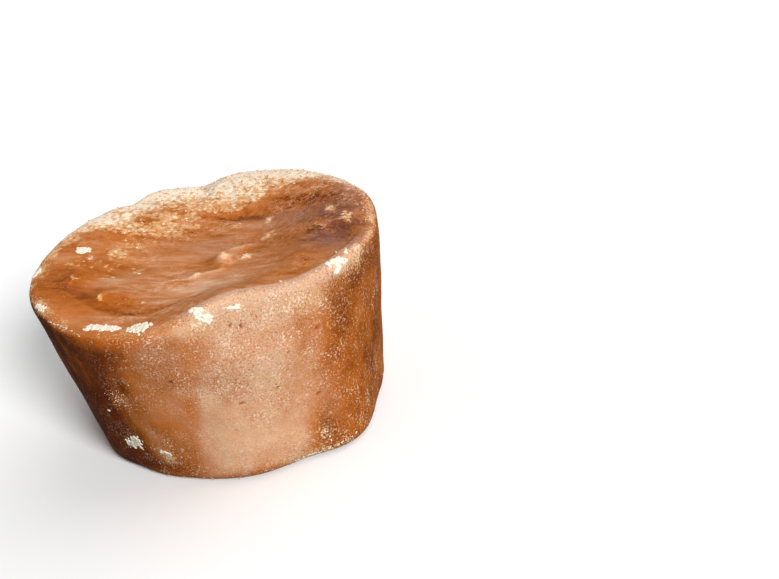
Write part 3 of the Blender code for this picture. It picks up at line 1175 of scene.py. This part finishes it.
# Clear orange, also painted as glow where light shines through a thin edge.
GLOW = (0.54, 0.136, 0.014)
GOLDEN = (0.62, 0.33, 0.14)
DUSTY = (0.66, 0.42, 0.27)
BLUSH = (0.62, 0.42, 0.29)
CREAM = (0.80, 0.67, 0.51)
ROSE = (0.80, 0.55, 0.40)
# Painted shade inside the pits.
PIT_SHADE = (0.26, 0.045, 0.008)
SPECK = (0.40, 0.085, 0.020)
CRUST_SHADE = (0.68, 0.55, 0.42)
CRUST = (0.80, 0.71, 0.58)
FLOOR_COLOUR = (0.90, 0.90, 0.90, 1.0)

# Colours of the loose crystals.
GRAIN_TONES = (
    (0.0, (0.55, 0.29, 0.15)),
    (0.6, (0.72, 0.47, 0.31)),
    (1.0, (0.82, 0.68, 0.53)),
)


class SkinNodes(Nodes):
    """The masks and noises that the layers of the skin share."""

    def __init__(self, name):
        super().__init__(name)
        self.points = self.object_points()
        self.dry = self.attribute("dry")
        self.smooth = 1.0 - self.dry
        self.grit = self.attribute("grit")
        self.haze_and_shade = self.attribute("haze_and_shade")
        self.rubbed = self.attribute("rubbed")
        self.crumbs = self.noise(self.points, 0.45 * MM, 3.0, 0.7)
        self.blotches = self.noise(self.points, 5.0 * MM, 4.0, 0.6)
        self.mottles = self.noise(self.points, 1.6 * MM, 3.0, 0.65)
        self.streaks = self.noise(self.object_points(5.0), 1.5 * MM, 4.0, 0.6)
        self.wisps = self.noise(self.object_points(3.0), 3.0 * MM, 3.0, 0.6)


def body_colour(n):
    """Colour of the sugar by its tone: crumbly and blotched where dry, smeared where smooth."""
    crumbly = (n.crumbs - 0.5) * (n.grit * 1.35 + 0.3)
    mottled = (n.mottles - 0.5) * (n.grit * 2.0)
    on_side = crumbly + (n.blotches - 0.5) * 0.40
    in_dish = (n.streaks - 0.5) * 0.40 + mottled + (n.wisps - 0.5) * 0.70 + crumbly * 0.5
    return n.palette(n.attribute("tone") + (on_side * n.dry + in_dish * n.smooth), SUGAR_TONES)


def tinged(n, colour):
    """A colour with clear orange, dusty pink and a grey veil over it, each by its mask; the orange is partly
    a painted glow and the veil partly painted shade.
    """
    colour = n.mix(n.attribute("glow") * n.ramp(n.blotches, 0.3, 0.6, 0.6, 1.0), colour, GLOW)
    colour = n.mix(n.rubbed * n.ramp(n.crumbs, 0.30, 0.55), colour, BLUSH)
    return n.mix(n.haze_and_shade * n.ramp(n.wisps, 0.25, 0.6, 0.45, 1.0), colour, HAZE_AND_SHADE_COLOUR)


def crystal_thickness(n):
    """How thick the crystals lie; they grow with the sugar mask."""
    fine = n.noise(n.points, 0.62 * MM, 2.0, 0.55)
    froth = n.noise(n.object_points(1.15), 1.5 * MM, 4.0, 0.65)
    return n.attribute("sugar") * 2.2 - 0.9 + (fine * n.dry + froth * n.smooth - 0.5) * 4.5


def crystallised(n, colour, thickness):
    """A colour under crystals, golden where thin and pale where thick, and under light specks."""
    golden = n.mix(n.rubbed + n.haze_and_shade, GOLDEN, DUSTY)
    pale = n.mix((n.dry - n.attribute("cream")) * 0.7 + n.haze_and_shade * 0.6, CREAM, ROSE)
    colour = n.mix(n.ramp(thickness, -0.35, 0.45), colour, golden)
    colour = n.mix(n.ramp(thickness, 0.40, 1.25), colour, pale)
    specks = n.ramp(n.noise(n.points, 0.58 * MM, 2.0, 0.6), 0.57, 0.61)
    clumped = n.ramp(n.noise(n.points, 4.0 * MM), 0.42, 0.60, 0.10, 1.7)
    return n.mix(specks * clumped * (n.dry * 0.75 + 0.25) * n.grit, colour, pale)


def pocked(n, colour):
    """A colour with dark specks in it, and pits painted dark as shade in their hollows."""
    specks = n.ramp(n.noise(n.points, 0.50 * MM, 1.0), 0.365, 0.325)
    colour = n.mix(specks * n.grit * 0.85, colour, SPECK)
    return n.mix(n.attribute("pit") * 0.90, colour, PIT_SHADE)


def skin_bumps(n, crystals):
    """Fine crumbs, streaks where the skin is smooth, and crystals that stand out."""
    normal = n.bump(n.crumbs * (n.grit * (n.dry + 0.25) + 0.10), 1.0, 0.40 * MM)
    normal = n.bump(n.streaks * n.smooth, 0.4, 0.30 * MM, normal)
    return n.bump(crystals, 0.7, 0.14 * MM, normal)


def jaggery_material():
    """Waxy sugar: clear amber to dry tan, with smears, pale crystals, haze and dark pits."""
    n = SkinNodes("jaggery")
    thickness = crystal_thickness(n)
    crystals = n.ramp(thickness, 0.0, 0.9)
    colour = pocked(n, crystallised(n, tinged(n, body_colour(n)), thickness))
    n.set(Base_Color=colour, Roughness=n.dry * 0.20 + 0.40 + crystals * 0.15)
    n.set(Normal=skin_bumps(n, crystals), IOR=1.5, Specular_IOR_Level=0.04)
    n.set(Subsurface_Weight=0.25, Subsurface_Radius=(1.0, 0.35, 0.12), Subsurface_Scale=2.0 * MM)
    return n.material


def crust_material():
    """Dry white sugar, a little uneven."""
    n = Nodes("sugar_crust")
    lumps = n.noise(n.object_points(), 0.7 * MM, 3.0, 0.6)
    n.set(Base_Color=n.mix(n.ramp(lumps, 0.30, 0.52), CRUST_SHADE, CRUST), Roughness=0.8)
    n.set(Normal=n.bump(lumps, 0.6, 0.25 * MM), Subsurface_Weight=0.15, Subsurface_Scale=0.8 * MM)
    return n.material


def grain_material():
    """Small crystals from golden to white."""
    n = Nodes("sugar_grains")
    n.set(Base_Color=n.palette(n.attribute("tone"), GRAIN_TONES), Roughness=0.45)
    n.set(Subsurface_Weight=0.15, Subsurface_Scale=0.5 * MM)
    return n.material


def floor_material():
    """Pale matt paper."""
    n = Nodes("floor")
    n.set(Base_Color=FLOOR_COLOUR, Roughness=0.9)
    return n.material


# -------- stage

CAMERA_PLACE = Vector((0.0, -0.3430, 0.1932))
CAMERA_AIM = Vector((0.0479, -0.0083, 0.0263))
CAMERA_ROLL = math.radians(-12.4)
CAMERA_LENS = 60.1
FLOOR_HALF_WIDTH = 3.0
WORLD_STRENGTH = 0.24


def add_camera():
    """The camera stands in front, looks down past the block's right and leans to one side."""
    data = bpy.data.cameras.new("camera")
    data.lens = CAMERA_LENS
    camera = new_object("camera", data)
    camera.location = CAMERA_PLACE
    camera.rotation_mode = "QUATERNION"
    level = (CAMERA_AIM - CAMERA_PLACE).to_track_quat("-Z", "Y")
    camera.rotation_quaternion = level @ Quaternion((0.0, 0.0, 1.0), CAMERA_ROLL)
    bpy.context.scene.camera = camera


def add_soft_light(name, azimuth, elevation, spread, strength):
    """A far soft light on the block; its spread is its width, and all its angles are in degrees."""
    data = bpy.data.lights.new(name, "SUN")
    data.angle = math.radians(spread)
    data.energy = strength
    light = new_object(name, data)
    towards = pointing(azimuth) * math.cos(math.radians(elevation))
    towards.z = math.sin(math.radians(elevation))
    light.location = towards
    light.rotation_euler = (-towards).to_track_quat("-Z", "Y").to_euler()


def add_floor():
    """A pale plain floor that casts no light back on the block."""
    half = FLOOR_HALF_WIDTH
    mesh = bpy.data.meshes.new("floor")
    corners = [(-half, -half, 0), (half, -half, 0), (half, half, 0), (-half, half, 0)]
    mesh.from_pydata(corners, [], [(0, 1, 2, 3)])
    mesh.materials.append(floor_material())
    floor = new_object("floor", mesh)
    floor.visible_diffuse = False
    floor.visible_glossy = False


def add_world():
    """Even white light from all round."""
    world = bpy.data.worlds.new("world")
    world.use_nodes = True
    background = world.node_tree.nodes["Background"]
    background.inputs["Color"].default_value = (1.0, 1.0, 1.0, 1.0)
    background.inputs["Strength"].default_value = WORLD_STRENGTH
    bpy.context.scene.world = world


def add_stage():
    bpy.context.scene.view_settings.view_transform = "Standard"
    add_world()
    add_floor()
    add_soft_light("key", azimuth=288, elevation=30, spread=18, strength=3.9)
    add_soft_light("fill", azimuth=20, elevation=50, spread=70, strength=1.2)
    add_camera()


# -------- pieces


def finish_piece(piece, material):
    piece.data.materials.append(material)
    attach(piece, BODY)
    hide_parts(NODE)


block, skin = build_block()
finish_piece(build_crusts(block), crust_material())
finish_piece(build_grains(block, skin), grain_material())
finish_piece(block, jaggery_material())
add_stage()
